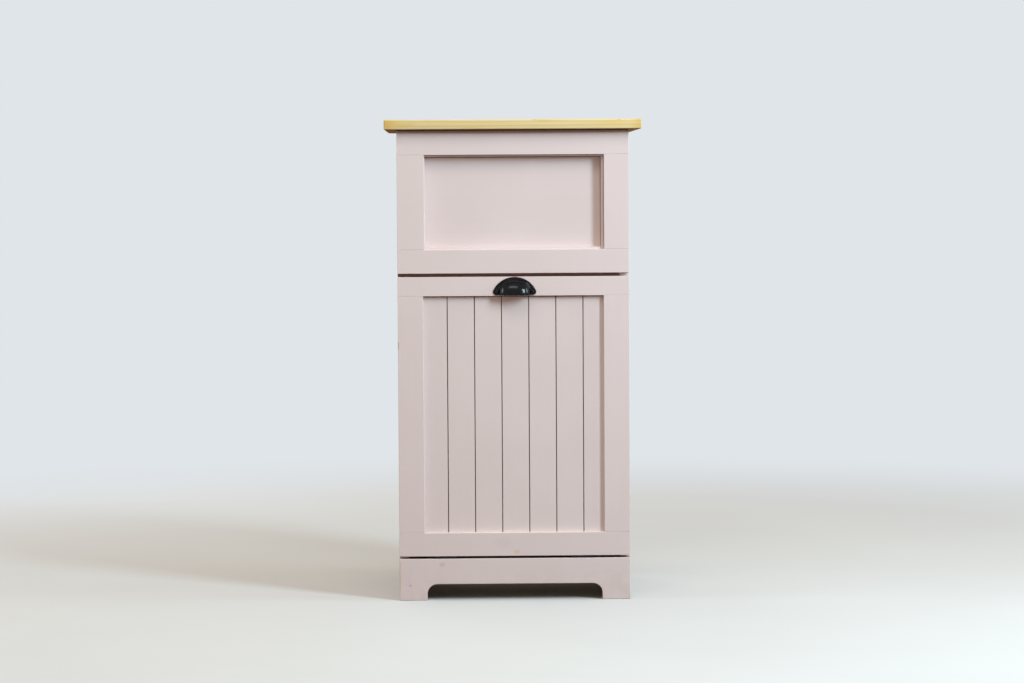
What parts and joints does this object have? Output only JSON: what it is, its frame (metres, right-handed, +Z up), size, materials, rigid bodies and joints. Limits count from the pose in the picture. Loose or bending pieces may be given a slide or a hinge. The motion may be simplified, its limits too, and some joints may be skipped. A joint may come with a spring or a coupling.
{
  "type": "tilt-out waste cabinet",
  "caption": "Wooden kitchen waste cabinet: painted plank door tilts out at the foot with a pail on its cradle, fixed recessed panel above, pine top.",
  "frame": {"origin": "on the floor, in the middle of the plan", "axes": "+Z up, the front with the tilting door faces -Y, +X to the right seen from the front"},
  "size_m": [0.52, 0.404, 0.977],
  "materials": {
    "painted_wood": "satin paint, dusty pink",
    "pine": "clear satin varnish",
    "bare_wood": "unfinished softwood",
    "plywood": "unfinished plywood",
    "black_metal": "satin black",
    "steel": "plain",
    "catch_plastic": "moulded, off-white",
    "magnet": "plain",
    "bin_plastic": "moulded, pale grey"
  },
  "bodies": {
    "cabinet": {"top_board": "pine", "side_left": "painted_wood", "side_right": "painted_wood", "back_panel": "plywood", "bottom_shelf": "bare_wood", "apron": "painted_wood", "apron_cleat": "bare_wood", "header_rail": "bare_wood", "stretcher_front": "bare_wood", "stretcher_back": "bare_wood", "upper_rail_top": "painted_wood", "upper_rail_bottom": "painted_wood", "upper_stile_left": "painted_wood", "upper_stile_right": "painted_wood", "lip_rail_top": "painted_wood", "lip_rail_bottom": "painted_wood", "lip_stile_left": "painted_wood", "lip_stile_right": "painted_wood", "recessed_panel": "painted_wood", "hinge_leaf_cabinet_left": "black_metal", "hinge_leaf_cabinet_right": "black_metal", "hinge_pin_left": "black_metal", "hinge_pin_right": "black_metal", "hinge_screws_cabinet": "black_metal", "catch_body": "catch_plastic", "catch_magnet": "magnet"},
    "door": {"door_plank_1": "painted_wood", "door_plank_2": "painted_wood", "door_plank_3": "painted_wood", "door_plank_4": "painted_wood", "door_plank_5": "painted_wood", "door_plank_6": "painted_wood", "door_plank_7": "painted_wood", "door_plank_8": "painted_wood", "door_plank_9": "painted_wood", "door_rail_top": "painted_wood", "door_rail_bottom": "painted_wood", "door_stile_left": "painted_wood", "door_stile_right": "painted_wood", "cup_pull": "black_metal", "pull_screws": "black_metal", "hinge_leaf_door_left": "black_metal", "hinge_leaf_door_right": "black_metal", "hinge_screws_door": "black_metal", "strike_plate": "steel", "cradle_cheek_left": "plywood", "cradle_cheek_right": "plywood", "cradle_floor": "plywood", "cradle_back_rail": "bare_wood", "stop_rail": "bare_wood", "cradle_batten_left": "bare_wood", "cradle_batten_right": "bare_wood", "inner_bin": "bin_plastic"}
  },
  "joints": [
    {"name": "door_tilt", "type": "hinge", "parent": "cabinet", "child": "door", "pos_m": [0, -0.1755, 0.0875], "axis": [1, 0, 0], "range_deg": [0, 29.4]}
  ]
}
